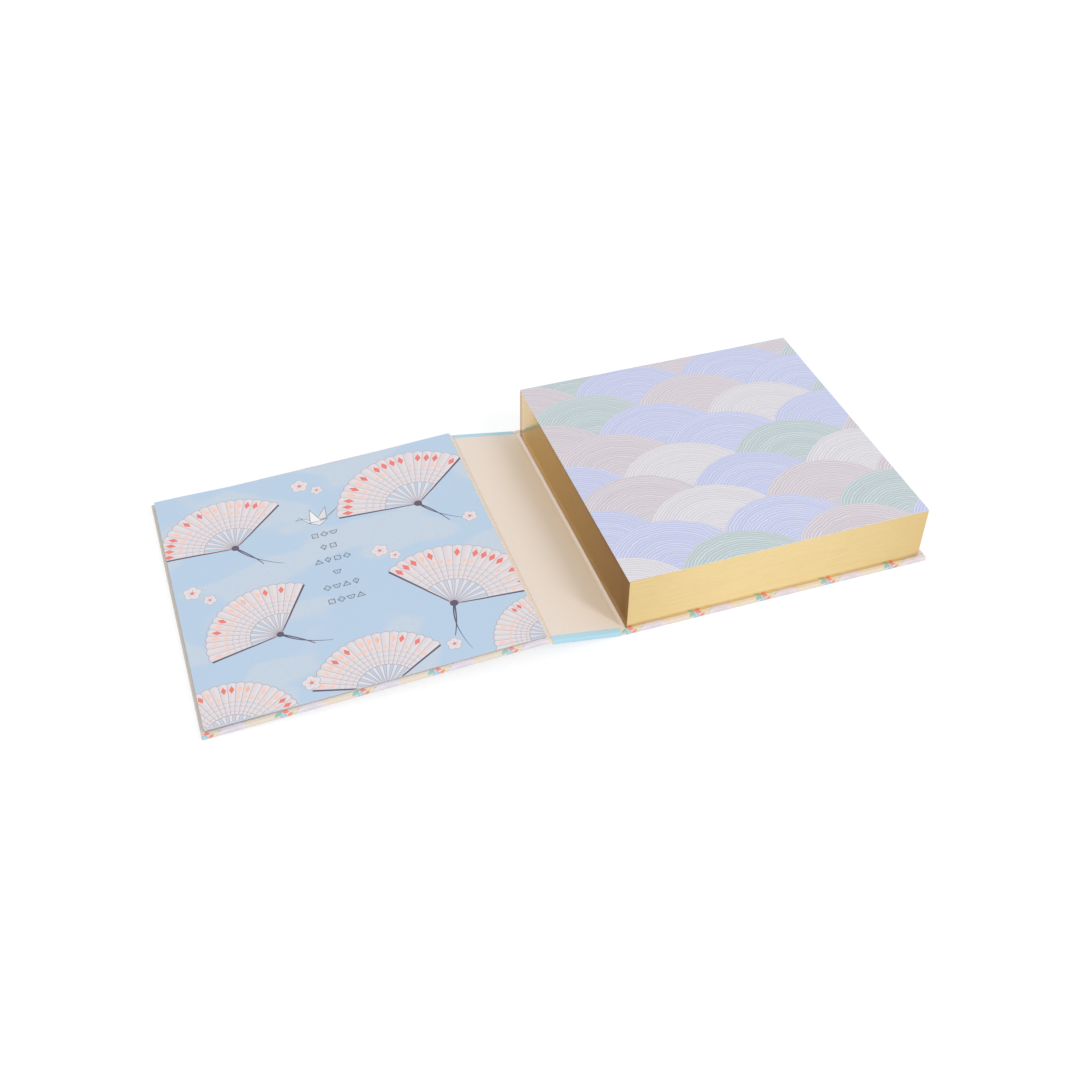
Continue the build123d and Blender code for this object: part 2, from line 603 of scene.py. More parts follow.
def finish_paper(shader, at, ground, rough, fibre=0.4, relief=0.02, mottle=0.05):
    """Gives a paper its grain, slow mottle and roughness."""
    grain = use(at.tree, paper_grain(), Position=at, Fibre=fibre)
    spots = (grain["Mottle"] - 0.5) * (2 * mottle)
    dull = tinted((1.0, 0.97, 0.93), 0.72, 0.72, 0.72)
    feed(shader.inputs["Base Color"], mixed((spots + mottle * 0.6).high(0.0), ground, dull))
    feed(shader.inputs["Roughness"], rough + (grain["Height"] - 0.5) * 0.12)
    bump(shader, grain["Height"], relief)


def plain_paper(name, ground, rough=0.5, **grain):
    """A paper of one colour."""
    material, shader, at = start_material(name)
    base = mixed(noise(at, 0.9, 2.0) * 0.12, ground, tinted(ground, 0.93, 0.93, 0.93))
    finish_paper(shader, at, base, rough, **grain)
    return material


def pile_side_lining():
    """The lining across the back joint. Its paler, cooler strip along the pile widens towards the near end.
    """
    material, shader, at = start_material("back_joint_lining")
    x, y = at.parts()
    strip_mask = (-78.1 - x - y * 0.0045).inside(0.2)
    finish_paper(shader, at, mixed(strip_mask, shades().lining, shades().joint), 0.5, fibre=0.45)
    return material


def cover_print():
    """The covers' printed paper: small fans, blossoms and leaves on cream, each row half a repeat on."""
    material, shader, at = start_material("cover_print", sheet_mm)
    c = shades()
    period = mm("print_period")
    rise = 26.0
    x, y = at.parts()
    # Painted shade: along the front cover's free edge the print gives way to the darker turn-in colour,
    # standing in for the booklet's shade.
    strip_mask = (x - (FRONT_SHIFT - COVER_WIDTH - TURN_IN_TOP / 2)).inside(0.1)
    y = y - (NEAR - 2.2)
    row = (y / rise + 0.5).floor()
    x = x - 1.5 + (row * 0.5).fraction() * period
    x, y = x.wrapped(-period / 2, period / 2), y.wrapped(-rise / 2, rise / 2)
    cell = point(x, y)
    dots = (0.5 - noise(at, 1.5, 1.0)).inside(0.08) * (hypot(x - 3.9, y) - 1.7).inside(0.6)
    tick = (abs(x - 5.6) - 0.2).high(abs(y) - 0.9).inside(0.3)
    ground = layered(c.cream, (dots * 0.8, linear(214, 216, 168)), (tick, linear(128, 128, 152)))
    fans = scattered(
        ground, cell, fan(), ("Radius",),
        ((11.4, 5.0, 180, 8.0), (-8.0, 4.4, 12, 7.8), (7.0, -12.2, -14, 6.6)),
        Leaf=linear(230, 223, 232), Rib=linear(205, 197, 212), Rim=linear(234, 218, 222),
        Soft=linear(231, 222, 228), Stick=linear(196, 190, 206), Cord=0.0,
    )
    leaves = scattered(
        fans, cell, leaf(), ("Reach", "Width", "Fill"),
        (
            (-3.0, -0.6, -35, 2.2, 1.0, c.teal),
            (0.3, -1.2, 15, 1.6, 0.85, c.coral),
            (1.9, 0.9, -40, 1.5, 0.85, c.coral),
            (10.0, 5.9, 20, 1.9, 0.8, c.teal),
            (3.4, 9.8, 60, 1.9, 0.8, c.coral),
            (-5.0, -8.4, -20, 1.9, 0.8, c.teal),
            (-12.6, -5.6, 50, 1.8, 0.75, c.coral),
        ),
        Outline=c.cream,
    )
    blossoms = scattered(
        leaves, cell, blossom(), ("Radius", "Petal"),
        (
            (-0.9, 1.0, 10, 1.5, c.flower),
            (6.6, 8.2, 40, 2.4, c.flower),
            (-9.0, -8.0, 75, 2.5, c.lilac_white),
        ),
        Outline=linear(160, 174, 194), Heart=c.white,
    )
    finish_paper(shader, at, mixed(strip_mask, blossoms, c.turn_in), 0.5, fibre=0.3, relief=0.015)
    return material


def booklet_print():
    """The booklet's front: a sky with soft clouds, folding fans, blossoms, a folded bird and fold marks."""
    material, shader, at = start_material("booklet_print", sheet_mm)
    c = shades()
    cloud = (0.52 - noise(at, 0.021, 1.6, 0.4, (1.0, 1.6, 1.0))).inside(0.035)
    scribble = (noise(at, 0.16, 2.0) * 16.0).fraction() - 0.5
    strokes = scribble.line(0.3, 0.25) * (0.52 - noise(at, 0.7, 1.0)).inside(0.12) * cloud
    sky = layered(c.sky, (cloud * 0.8, c.cloud), (strokes * 0.5, linear(208, 219, 230)))
    fans = scattered(
        sky, at, fan(), ("Radius",),
        (
            (-30.0, 30.0, 18, 40.0),
            (-120.0, 30.0, 20, 36.0),
            (-111.0, -33.0, 36, 33.0),
            (-33.0, -42.0, -30, 39.0),
            (-74.0, -80.0, 6, 33.0),
            (-141.0, -85.0, -12, 31.0),
            (3.0, -76.0, 42, 27.0),
        ),
        Leaf=c.lilac_white, Rib=c.rib, Rim=c.coral, Soft=c.peach, Stick=c.ink, Cord=1.0,
    )
    blossoms = scattered(
        fans, at, blossom(), ("Radius",),
        (
            (-82.0, 64.0, 12, 4.6),
            (-74.5, 58.0, 45, 3.2),
            (-56.0, 4.0, 30, 4.2),
            (-50.0, -1.5, 64, 3.0),
            (-144.0, 6.0, 5, 4.4),
            (-137.0, -1.0, 50, 3.2),
            (-104.0, -66.0, 20, 4.2),
            (-40.0, -66.0, 10, 3.6),
            (-9.0, 12.0, 33, 3.8),
        ),
        Petal=c.lilac_white, Outline=c.rib, Heart=c.coral,
    )
    bird = folded_bird(placed(at, -79.0, 36.5), blossoms)
    marks = fold_marks(placed(at, -78.0, 25.0), bird)
    finish_paper(shader, at, marks, 0.4, fibre=0.2, relief=0.006, mottle=0.02)
    return material


def folded_bird(at, under):
    """A small folded paper bird of flat facets."""
    c = shades()
    x, y = at.parts()
    facets = (
        (((1.5, -1.8), (4.8, -0.4), (10.4, 4.6)), 0.25),
        (((-0.8, -0.6), (4.6, -0.2), (5.6, 7.6)), 0.3),
        (((-7.8, 3.6), (-3.4, -2.4), (-1.2, -1.2)), 0.12),
        (((-10.0, 2.3), (-7.0, 2.4), (-7.8, 3.7)), 0.35),
        (((-4.4, -1.4), (0.4, -4.6), (4.8, -1.2)), 0.2),
        (((-3.6, -1.2), (1.8, -1.6), (-2.2, 8.0)), 0.0),
    )
    for corners, tone in facets:
        distance = polygon(x, y, *corners)
        shade = tuple(a + (b - a) * tone for a, b in zip(c.white, c.rib))
        under = layered(under, (distance.inside(), shade), (distance.line(0.26), c.glyph))
    return under


def fold_marks(at, under):
    """Six rows of small fold marks below the origin: squares, triangles, diamonds, kites and boats."""
    pitch, spacing = 4.5, 9.2
    x, y = at.parts()
    row = (-y / spacing + 0.5).floor()
    count = 3.0
    for level, change in ((0.5, -1.0), (1.5, 2.0), (2.5, -3.0), (3.5, 3.0)):
        count = count + row.above(level) * change
    column = (x / pitch + count * 0.5).floor()
    place = column + 0.5 - count * 0.5
    mark_x = x - place * pitch
    mark_y = y + row * spacing
    allowed = abs(place).below(count * 0.5) * row.above(-0.5) * row.below(5.5)
    kind = ((column * 2.0 + row * 3.0 + 0.5) / 5.0).fraction() * 5.0
    side = abs(mark_x)
    shapes = (
        side.high(abs(mark_y)) - 1.35,
        polygon(mark_x, mark_y, (-1.75, -1.3), (1.75, -1.3), (0.0, 1.5)),
        (side + abs(mark_y)) * 0.707 - 1.2,
        polygon(side, mark_y, (-4.0, -1.7), (0.0, -1.7), (1.4, 0.5), (0.0, 1.7), (-4.0, 1.7)),
        polygon(side, mark_y, (-4.0, -1.2), (0.8, -1.2), (1.8, 0.9), (-4.0, 0.9)),
    )
    creases = (mark_x - mark_y, mark_x, mark_y, mark_x, mark_x)
    marks = []
    for index, (shape, crease) in enumerate(zip(shapes, creases)):
        drawn = shape.line(0.42, 0.14).high(crease.line(0.24, 0.14) * shape.inside() * 0.8)
        marks.append(drawn * abs(kind - (index + 0.5)).below(0.5))
    return mixed(highest(marks) * allowed * 0.95, under, shades().glyph)


def wave_print():
    """The top sheet: wave scales of combed lines in four soft colours."""
    material, shader, at = start_material("wave_print", sheet_mm)
    c = shades()
    waves = use(at.tree, wave_scales(), Position=placed(at, 6.0, -9.0), Radius=mm("wave_radius"),
                Pitch=mm("wave_pitch"))
    number, comb, press = waves["Number"], waves["Comb"], waves["Press"]
    second, third, fourth = ((level - number).inside(0.01) for level in (0.33, 0.62, 0.84))
    groove = (abs(comb - 0.2) - 0.1).inside(0.16) * (press * 0.6 + 0.4)
    light = (abs(comb - 0.52) - 0.12).inside(0.18) * (1.1 - press * 0.6)
    dark = mixed(second, linear(160, 166, 206), linear(168, 158, 166))
    print_colour = layered(
        c.lavender,
        (second, c.mauve),
        (third, c.sage),
        (fourth, c.pearl),
        (groove * 0.5, dark),
        (light * 0.6, c.white),
        (waves["Border"] * 0.5, linear(186, 172, 184)),
    )
    grain = use(at.tree, paper_grain(), Position=at, Fibre=0.4)
    feed(shader.inputs["Base Color"], print_colour)
    feed(shader.inputs["Roughness"], 0.46 + (grain["Height"] - 0.5) * 0.1)
    bump(shader, grain["Height"] * 0.4 - groove * 0.6, 0.02)
    return material


def gilt():
    """Gilding on the pile's edges: fine streaks along the sheets. Its colour also holds painted shade, darker
    towards both ends of the sides, and painted reflection on the hinge side: dark brown at the near end,
    paler towards the far end and the foot, with a pale strip at the far end.
    """
    material, shader, at = start_material("gilt_edges")
    gold = shades().gold
    streak = noise(at, 1.0, 5.0, 0.65, (0.05, 0.05, 5.0))
    fine = noise(at, 1.0, 3.0, 0.6, (0.3, 0.3, 14.0))
    cloudy = noise(at, 0.05, 3.0, 0.6)
    lines = streak * 0.6 + fine * 0.4
    x, y, z = at.parts(3)
    # Painted shade: the gilding is darker towards both ends of the pile's sides and brightest a little left
    # of the middle.
    painted_end_shade = (x + 10.0) / 85.0
    share = lines * 1.8 - 0.72 + cloudy * 0.3 + painted_end_shade * painted_end_shade * 0.8
    base = mixed(share.clamped(), gold, tinted(gold, 0.8, 0.75, 0.67))
    # Painted reflection and painted shade on the hinge side: dark brown at the near end, paler towards the
    # far end and the foot, a little darker just under the top edge.
    hinge_side = (x - (pile_low.x + 0.35)).inside(0.2)
    pale = y.ramp(pile_low.y, pile_high.y) - z.ramp(pile_high.z - 4, pile_high.z - 1) * 0.15
    pale = pale.high(0.3 - z.ramp(pile_low.z + 2, pile_low.z + 6) * 0.3) + (lines - 0.5) * 0.4
    painted_reflection = mixed(pale.clamped(), tinted(gold, 0.275, 0.21, 0.183), tinted(gold, 0.7, 0.7, 0.6))
    # Painted reflection: a pale peach strip at the far end of the hinge side.
    far_painted_reflection = (y + z * 0.55).ramp(66, 74)
    painted_reflection = mixed(far_painted_reflection, painted_reflection, tinted(gold, 0.73, 0.76, 0.96))
    # Camera and glossy rays see the painted colour; diffuse rays see a brighter gold, which throws warm light
    # on the lining beside the pile.
    glow = mixed(rays(at.tree, ("Is Diffuse Ray",)), painted_reflection, tinted(gold, 1.09, 1.06, 1.0))
    feed(shader.inputs["Base Color"], mixed(hinge_side, base, glow))
    shader.inputs["Metallic"].default_value = 1.0
    shader.inputs["Specular Tint"].default_value = (1.0, 0.85, 0.7, 1.0)
    feed(shader.inputs["Roughness"], 0.13 + lines * 0.1)
    bump(shader, lines * (1.0 - hinge_side * 0.7), 0.02)
    return material


def greyboard():
    """The board inside the covers: pressed grey pulp with flecks."""
    material, shader, at = start_material("greyboard")
    board = shades().board
    fleck = (0.6 - noise(at, 1.4, 3.0, 0.7)).inside(0.08)
    base = mixed(fleck * 0.5, board, tinted(board, 0.6, 0.6, 0.6))
    finish_paper(shader, at, base, 0.85, fibre=0.7, relief=0.05, mottle=0.1)
    return material


# Mesh building


def in_metres(name, bm, place, materials, smooth=True):
    """Makes a bmesh in panel millimetres an object in the frame, and frees the bmesh."""
    bm.transform(Matrix.Scale(MM, 4) @ place)
    bm.normal_update()
    mesh = bpy.data.meshes.new(name)
    bm.to_mesh(mesh)
    bm.free()
    for material in materials:
        mesh.materials.append(material)
    obj = bpy.data.objects.new(name, mesh)
    bpy.context.scene.collection.objects.link(obj)
    if smooth:
        mesh.shade_smooth()
        mesh.set_sharp_from_angle(angle=math.radians(SHARP_ANGLE))
    return obj


def block(low, high):
    """A box between two corners, as a bmesh."""
    low, high = Vector(low), Vector(high)
    bm = bmesh.new()
    scale = Matrix.Diagonal((*(high - low), 1))
    bmesh.ops.create_cube(bm, size=1, matrix=Matrix.Translation((low + high) / 2) @ scale)
    return bm


def cut(bm, where, facing, faces=None):
    """Cuts a bmesh, or some of its faces, along a plane."""
    faces = list(faces if faces is not None else bm.faces)
    edges = {edge for face in faces for edge in face.edges}
    verts = {vert for face in faces for vert in face.verts}
    made = bmesh.ops.bisect_plane(bm, geom=[*verts, *edges, *faces], plane_co=where, plane_no=facing)
    return [item for item in made["geom_cut"] if isinstance(item, bmesh.types.BMVert)]


def sliced(bm, axis, places):
    """Cuts a bmesh square across an axis, 0 for x, 1 for y and 2 for z, at each of the places."""
    facing = Vector((0, 0, 0))
    facing[axis] = 1
    for place in places:
        cut(bm, facing * place, facing)


def steps(low, high, count):
    """The places that divide a length into that many equal parts."""
    return [low + (high - low) * k / count for k in range(1, count)]


def rounded(bm, edges, radius, segments):
    bmesh.ops.bevel(bm, geom=edges, offset=radius, offset_type="OFFSET", segments=segments, profile=0.5,
                    affect="EDGES", material=-1)


def rise(edge):
    """How much higher one end of an edge is than the other."""
    return abs(edge.verts[0].co.z - edge.verts[1].co.z)


def at_end(item, ends):
    """Whether an edge or a face lies wholly at one of the ends along x."""
    return any(all(abs(vert.co.x - end) < 1e-4 for vert in item.verts) for end in ends)


def folded_edges(low, free):
    """The edges that a paper is folded over: (axis, place, way out), with those along y first."""
    return [(1, NEAR, -1), (1, FAR, 1), *((0, end, -1 if end == low else 1) for end in free)]


def unfold(bm, low, free, shift):
    """Writes each face's place on the flat sheet, in millimetres, from where it lies round the board.
    shift moves the print along the sheet."""
    layer = bm.loops.layers.uv.new("Sheet")
    for face in bm.faces:
        centre = face.calc_center_median()
        axis, edge, outwards = min(folded_edges(low, free), key=lambda e: (e[1] - centre[e[0]]) * e[2])
        skin = max(vert.co.z for vert in face.verts) < SKIN_HEIGHT
        for loop in face.loops:
            spot, height = loop.vert.co.xy, loop.vert.co.z
            if not skin:
                if height > TURN_IN_TOP / 2:
                    spot[axis] = 2 * edge - spot[axis]
                spot[axis] += outwards * height
            loop[layer].uv = (spot.x + shift, spot.y)


def folded_paper(low, high, free=(), inset=0.0, columns=(), shift=0.0):
    """A sheet folded round a board from low to high along the panel, with turn-ins on the inside.
    At a free end it is folded over too, and elsewhere it ends where the next paper begins."""
    near, far = NEAR + inset, FAR - inset
    bm = block((low, near, 0), (high, far, TURN_IN_TOP))
    open_ends = [end for end in (low, high) if end not in free]
    upright = [edge for edge in bm.edges if at_end(edge, free) and rise(edge) > 1]
    if upright:
        rounded(bm, upright, mm("corner_radius"), 5)
    lids = [face for face in bm.faces if at_end(face, open_ends)]
    bmesh.ops.delete(bm, geom=lids, context="FACES_ONLY")
    folds = [edge for edge in bm.edges
             if len(edge.link_faces) == 2 and rise(edge) < 1e-4 and edge.calc_face_angle() > 1]
    rounded(bm, folds, mm("fold_radius"), 3)
    window_low = low + TURN_IN if low in free else low - 1
    window_high = high - TURN_IN if high in free else high + 1
    sliced(bm, 1, (near + TURN_IN, far - TURN_IN))
    sliced(bm, 0, [x for x in (window_low, window_high) if low < x < high])
    window = []
    for face in bm.faces:
        centre = face.calc_center_median()
        in_window = near + TURN_IN < centre.y < far - TURN_IN and window_low < centre.x < window_high
        if in_window and centre.z > TURN_IN_TOP - 0.05:
            window.append(face)
    bmesh.ops.delete(bm, geom=window, context="FACES")
    for end in free:
        for edge, upwards in ((near, 1), (far, -1)):
            mitre(bm, end, edge, 1 if end == low else -1, upwards)
    sliced(bm, 0, columns)
    unfold(bm, low, free, shift)
    bmesh.ops.solidify(bm, geom=bm.faces[:], thickness=mm("paper"))
    return bm


def mitre(bm, end, edge, inwards, upwards):
    """The crease where two turn-ins meet over a corner."""
    facing = Vector((inwards, -upwards, 0)).normalized()
    for step in (-CREASE_HALF_WIDTH, CREASE_HALF_WIDTH, 0.0):
        top = []
        for face in bm.faces:
            centre = face.calc_center_median()
            near_corner = abs(centre.x - end) < TURN_IN and abs(centre.y - edge) < TURN_IN
            if near_corner and centre.z > TURN_IN_TOP - 0.01:
                top.append(face)
        verts = cut(bm, Vector((end, edge, 0)) + facing * step, facing, top)
    for vert in verts:
        if vert.co.z > TURN_IN_TOP - 1e-3:
            vert.co.z -= CREASE_DEPTH


def along(points, share):
    """A smooth curve through points in the XZ plane: its place at a share from 0 to 1 of its points."""
    spot = min(max(share, 0), 1) * (len(points) - 1)
    index = min(int(spot), len(points) - 2)
    t = spot - index
    p0, p1, p2, p3 = (Vector(points[min(max(index + k, 0), len(points) - 1)]) for k in (-1, 0, 1, 2))
    return 0.5 * (2 * p1 + (p2 - p0) * t + (2 * p0 - 5 * p1 + 4 * p2 - p3) * t * t
                  + (3 * p1 - p0 - 3 * p2 + p3) * t ** 3)


def warped(bm, low, high, height, bottom, top):
    """Bends a flat paper so that its underside follows one curve and its upper side another."""
    for vert in bm.verts:
        share = (vert.co.x - low) / (high - low)
        below, above = along(bottom, share), along(top, share)
        spot = below.lerp(above, vert.co.z / height)
        vert.co.x, vert.co.z = spot.x, spot.y


def joint_paper(name, curves, low, material, shift=0.0, spread=1.0):
    """The covers' paper across a joint: skin, near and far folds and turn-ins. It starts at low on the
    sheet, and spread is how much wider the sheet is there than the open joint."""
    skin, turn_in, _ = curves
    high = low + abs(skin[0][0] - skin[-1][0])
    bm = folded_paper(low, high, inset=0.1, columns=steps(low, high, JOINT_STEPS), shift=shift)
    layer = bm.loops.layers.uv["Sheet"]
    for face in bm.faces:
        for loop in face.loops:
            loop[layer].uv.x = low + shift + (loop[layer].uv.x - low - shift) * spread
    warped(bm, low, high, TURN_IN_TOP, skin[::-1], turn_in[::-1])
    return in_metres(name, bm, FLAT, [material])


def joint_lining(name, curves, material):
    """The lining across a joint, dipping into the crease."""
    thick = mm("paper")
    lining = curves[2]
    under = [(x, z - thick) for x, z in lining]
    bm = block((0, NEAR + LINING_INSET, 0), (1, FAR - LINING_INSET, thick))
    sliced(bm, 0, steps(0, 1, JOINT_STEPS))
    sliced(bm, 1, steps(NEAR, FAR, 8))
    warped(bm, 0, 1, thick, under[::-1], lining[::-1])
    return in_metres(name, bm, FLAT, [material])


def panel_lining(name, place, low, high, free, material):
    """The lining on a panel: over the turn-ins, and a little lower between them, except at a joint."""
    x_low = low + (LINING_SIDE_INSET if low in free else 0)
    x_high = high - (LINING_SIDE_INSET if high in free else 0)
    near, far = NEAR + LINING_INSET, FAR - LINING_INSET
    bm = block((x_low, near, PANEL_TOP - mm("paper")), (x_high, far, PANEL_TOP))
    for axis, edge, outwards in folded_edges(low, free):
        sliced(bm, axis, [edge - outwards * (TURN_IN + step) for step in LINING_STEP])
    bed_low = low + (TURN_IN if low in free else 0.01)
    bed_high = high - (TURN_IN if high in free else 0.01)
    for vert in bm.verts:
        if bed_low < vert.co.x < bed_high and NEAR + TURN_IN < vert.co.y < FAR - TURN_IN:
            vert.co.z -= LINING_DIP
    return in_metres(name, bm, place, [material])


def smooth_step(value):
    value = min(max(value, 0.0), 1.0)
    return value * value * (3 - 2 * value)


def booklet_height(x, y, share):
    """How far a leaf of the booklet stands over its pressed place.
    share is 0 for the lowest leaf and 1 for the top one."""
    from_free = (x - BOOKLET_X[0]) / mm("curl_width")
    curl = mm("edge_lift") * (1 - smooth_step(from_free)) ** 1.5
    near_corner = (1 - smooth_step(from_free * 1.6)) * (1 - smooth_step((y - BOOKLET_Y[0]) / 40))
    far_corner = (1 - smooth_step(from_free * 1.2)) * (1 - smooth_step((BOOKLET_Y[1] - y) / 45))
    right_corner = smooth_step((x - BOOKLET_X[1] + 60) / 60) * (1 - smooth_step((BOOKLET_Y[1] - y) / 40))
    return (curl + 0.2 * near_corner + 0.25 * far_corner + 0.75 * right_corner) * share


def leaf_mesh(low, high, bottom, thickness, shares, counts):
    """One leaf of the booklet, curled as its place in the pile has it, or a few leaves that fan out a
    little: shares are those of its underside and its upper side."""
    (x0, y0), (x1, y1) = low, high
    bm = block((x0, y0, bottom), (x1, y1, bottom + thickness))
    sliced(bm, 0, [x0 + (x1 - x0) * step ** 1.25 for step in steps(0, 1, counts[0])])
    sliced(bm, 1, steps(y0, y1, counts[1]))
    for vert in bm.verts:
        x, y, z = vert.co
        share = shares[0] if z < bottom + thickness / 2 else shares[1]
        vert.co.z += booklet_height(x, y, share)
        vert.co.x += 0.25 * (BOOKLET_X[1] - x) / (BOOKLET_X[1] - BOOKLET_X[0])
    return bm


def print_above(bm):
    """Gives the upper side the first material and the rest the second, and writes each face's place on
    the flat sheet, straight from above."""
    layer = bm.loops.layers.uv.new("Sheet")
    bm.normal_update()
    for face in bm.faces:
        face.material_index = 0 if face.normal.z > 0.5 else 1
        for loop in face.loops:
            loop[layer].uv = loop.vert.co.xy


def joined(parts):
    """Several bmeshes as one."""
    whole = bmesh.new()
    for bm in parts:
        mesh = bpy.data.meshes.new("part")
        bm.to_mesh(mesh)
        bm.free()
        whole.from_mesh(mesh)
        bpy.data.meshes.remove(mesh)
    return whole


def bend_at_joints(back_joint, front_joint):
    """Bakes the transforms of the papers that cross the two joints into their meshes."""
    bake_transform(back_joint)
    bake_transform(front_joint)


# Operators


class PAPER_CASE_OT_stage(bpy.types.Operator):
    """Makes the floor, the soft studio light and the camera"""

    bl_idname = "paper_case.stage"
    bl_label = "Stage"

    def execute(self, context):
        self.camera(context)
        self.light(context)
        self.world(context)
        self.floor()
        return {"FINISHED"}

    def camera(self, context):
        data = bpy.data.cameras.new("camera")
        data.lens = 46.2156
        data.sensor_width = 36
        data.clip_start = 0.01
        data.clip_end = 30
        camera = bpy.data.objects.new("camera", data)
        camera.location = (-0.261189, -0.474830, 0.450519)
        camera.rotation_euler = [math.radians(a) for a in (47.9053, -0.5138, -19.2221)]
        context.scene.collection.objects.link(camera)
        context.scene.camera = camera

    def light(self, context):
        data = bpy.data.lights.new("softbox", "AREA")
        data.shape = "RECTANGLE"
        data.size = 0.45
        data.size_y = 1.55
        data.energy = 24.5
        data.color = (1.0, 0.985, 0.965)
        lamp = bpy.data.objects.new("softbox", data)
        aim = Vector((-0.09, 0, 0.02))
        towards = Vector((0.426, -0.633, 0.646))
        distance = 3
        lamp.location = aim + towards * distance
        lamp.rotation_euler = towards.to_track_quat("Z", "Y").to_euler()
        context.scene.collection.objects.link(lamp)

    def world(self, context):
        world = bpy.data.worlds.new("soft_white")
        context.scene.world = world
        world.use_nodes = True
        background = world.node_tree.nodes["Background"]
        background.inputs["Color"].default_value = (1, 1, 1, 1)
        feed(background.inputs["Strength"], rays(world.node_tree, SEEN_RAYS) * 0.15 + 0.85)

    def floor(self):
        reach, height = 9000, -0.05
        bm = bmesh.new()
        bmesh.ops.create_grid(bm, x_segments=2, y_segments=2, size=reach)
        material, shader, at = start_material("floor")
        floor_colour = shades().floor
        seen = rays(at.tree, SEEN_RAYS)
        lit = mixed(seen, floor_colour, tinted(floor_colour, 0.35, 0.35, 0.35))
        feed(shader.inputs["Base Color"], mixed(noise(at, 0.004, 2.0) * 0.01, lit, (0.3, 0.3, 0.3)))
        shader.inputs["Roughness"].default_value = 0.9
        shader.inputs["Specular IOR Level"].default_value = 0.0
        shader.inputs["Emission Color"].default_value = (0.97, 0.98, 1.0, 1.0)
        feed(shader.inputs["Emission Strength"], seen * 0.71)
        floor = in_metres("floor", bm, Matrix.Translation((0, 0, height)), [material], smooth=False)


class PAPER_CASE_OT_boards(bpy.types.Operator):
    """Gives the boards inside the covers their grey board"""

    bl_idname = "paper_case.boards"
    bl_label = "Boards"

    def execute(self, context):
        material = greyboard()
        for name in ("back_board", "spine_board", "front_board"):
            node = frame["nodes"][name]
            node.data.materials.clear()
            node.data.materials.append(material)
        return {"FINISHED"}


class PAPER_CASE_OT_pile(bpy.types.Operator):
    """Makes the pile of sheets with gilt edges, and its top sheet"""

    bl_idname = "paper_case.pile"
    bl_label = "Pile of sheets"

    def execute(self, context):
        self.sheets()
        self.top_sheet()
        return {"FINISHED"}

    def sheets(self):
        draw = random.Random(11)
        corner_radius = 0.22
        usual_shift, most_shift = 0.007, 0.045
        wave_height = 0.004
        inset = 0.03
        low, high = pile_low, pile_high - Vector((0, 0, TOP_SHEET_ROOM))
        bm = block(low, high)
        rounded(bm, [edge for edge in bm.edges if rise(edge) > 1], corner_radius, 2)
        sliced(bm, 2, steps(low.z, high.z, SHEET_ROWS))
        for axis in (0, 1):
            sliced(bm, axis, steps(low[axis], high[axis], PILE_STEPS))
        shifts = [draw.gauss(0, usual_shift) for _ in range(SHEET_ROWS + 1)]
        shifts = [max(-most_shift, min(most_shift, shift)) for shift in shifts]
        phases = [draw.uniform(0, 6.28) for _ in range(SHEET_ROWS + 1)]
        centre = (low + high) / 2
        for vert in bm.verts:
            row = round((vert.co.z - low.z) / (high.z - low.z) * SHEET_ROWS)
            for axis, other in ((0, 1), (1, 0)):
                away = vert.co[axis] - centre[axis]
                if abs(away) > (high[axis] - low[axis]) / 2 - 0.5:
                    wave = wave_height * math.sin(vert.co[other] * 0.07 + phases[row])
                    vert.co[axis] += math.copysign(shifts[row] + wave, away) - math.copysign(inset, away)
        pile = in_metres("gilt_pile", bm, FLAT, [gilt()])
        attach(pile, "back_cover")
        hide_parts("paper_block")

    def top_sheet(self):
        low, high = pile_low, pile_high
        bm = block((low.x, low.y, high.z - TOP_SHEET_THICKNESS), high)
        for axis in (0, 1):
            sliced(bm, axis, steps(low[axis], high[axis], TOP_SHEET_STEPS))
        lift = mm("sheet_lift")
        for vert in bm.verts:
            x, y, _ = vert.co
            far_corner = smooth_step((x - high.x + 34) / 34) * smooth_step((y - high.y + 30) / 30)
            near_corner = smooth_step((low.x + 26 - x) / 26) * smooth_step((low.y + 30 - y) / 30)
            vert.co.z += lift * far_corner + 0.07 * near_corner
        print_above(bm)
        edge = plain_paper("sheet_edge", shades().white, 0.6, fibre=0.6)
        sheet = in_metres("top_sheet", bm, FLAT, [wave_print(), edge])
        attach(sheet, "back_cover")


